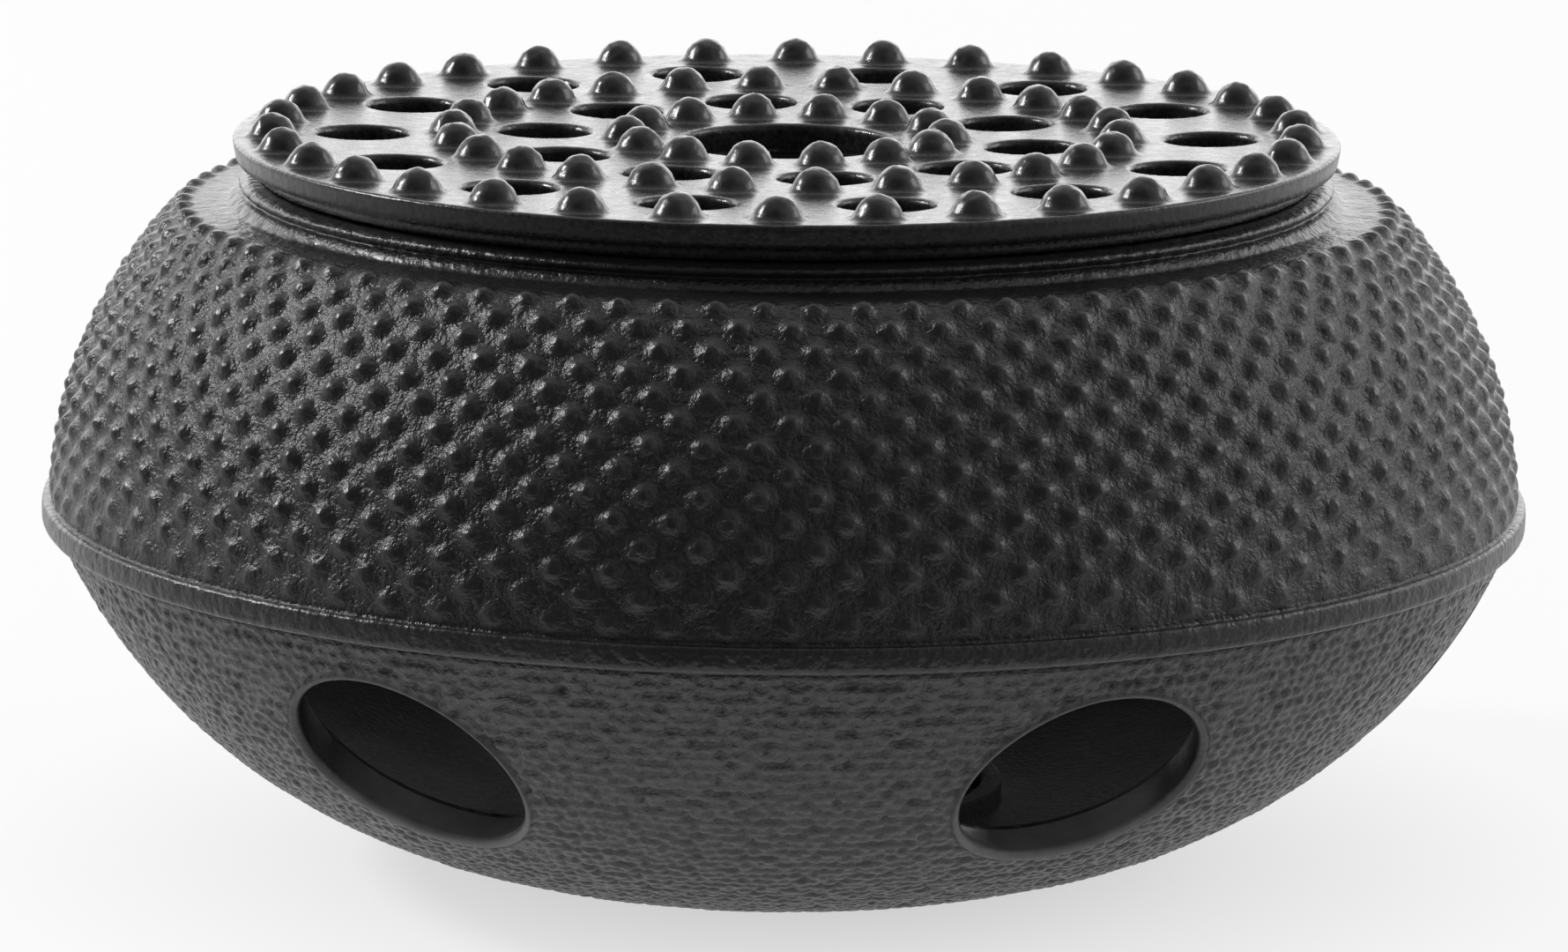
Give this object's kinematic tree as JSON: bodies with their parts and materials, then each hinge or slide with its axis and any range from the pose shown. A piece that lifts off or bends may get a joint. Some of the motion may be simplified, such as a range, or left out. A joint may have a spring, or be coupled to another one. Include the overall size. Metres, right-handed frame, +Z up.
{
  "type": "teapot warmer",
  "caption": "Round cast iron teapot warmer: hobnail body with air holes, a lift-off perforated plate with raised bumps for the pot, and a tealight inside.",
  "frame": {"origin": "centre of the flat base, on the surface that the warmer stands on", "axes": "+Z up along the axis of the round body; -Y faces the viewer of the picture and +X is to the viewer's right"},
  "size_m": [0.1456, 0.1456, 0.0732],
  "materials": {
    "body_iron": "satin black enamel over cast texture",
    "plate_iron": "satin black enamel, slightly glossier on the bumps",
    "cup_aluminium": "thin bright pressed sheet",
    "wax": "smooth white candle wax",
    "sustainer_steel": "pressed tinned steel",
    "wick_cotton": "braided cotton, waxed"
  },
  "bodies": {
    "warmer": {"warmer_body": "body_iron"},
    "trivet": {"trivet_plate": "plate_iron"},
    "tealight": {"tealight_cup": "cup_aluminium", "tealight_wax": "wax", "wick_sustainer": "sustainer_steel", "tealight_wick": "wick_cotton"}
  },
  "joints": [
    {"name": "trivet_lift", "type": "slide", "parent": "warmer", "child": "trivet", "axis": [0, 0, 1], "range_m": [0, 0.1]},
    {"name": "tealight_lift", "type": "slide", "parent": "warmer", "child": "tealight", "axis": [0, 0, 1], "range_m": [0, 0.041]}
  ]
}
